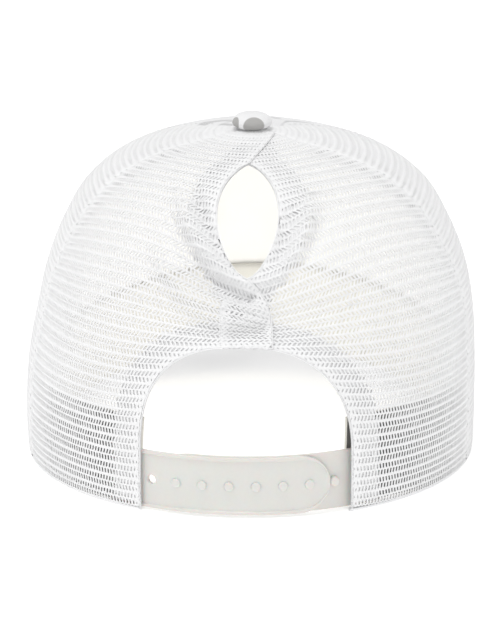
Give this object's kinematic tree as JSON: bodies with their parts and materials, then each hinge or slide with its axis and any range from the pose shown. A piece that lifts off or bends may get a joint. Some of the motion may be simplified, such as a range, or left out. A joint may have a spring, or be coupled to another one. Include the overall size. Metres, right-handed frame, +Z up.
{
  "type": "trucker cap with a ponytail hole",
  "caption": "High-crown trucker cap with net sides and back, crossed back panels that leave a ponytail hole, a curved peak and a plastic snap strap.",
  "frame": {"origin": "middle of the bounding box's underside, on the plane that the rim stands on", "axes": "+Z up through the button, +Y to the back of the cap, +X to the wearer's left; the peak points to -Y"},
  "size_m": [0.1766, 0.2638, 0.1334],
  "materials": {
    "front_cloth": "woven white cloth with a faint grey blotched pattern",
    "net": "white knitted net",
    "tape": "white woven tape",
    "sweatband": "grey brushed cotton",
    "strap_plastic": "milky translucent plastic, semi-gloss",
    "peak_cloth": "woven white cloth with rows of stitching",
    "button_cloth": "woven cloth stretched over a button"
  },
  "bodies": {
    "root": {"front_panel": "front_cloth", "side_net_left": "net", "side_net_right": "net", "back_net_left": "net", "back_net_right": "net", "seam_tape_left": "tape", "seam_tape_right": "tape", "sweatband": "sweatband", "strap_outer": "strap_plastic", "strap_inner": "strap_plastic", "peak": "peak_cloth", "button": "button_cloth"}
  },
  "joints": []
}
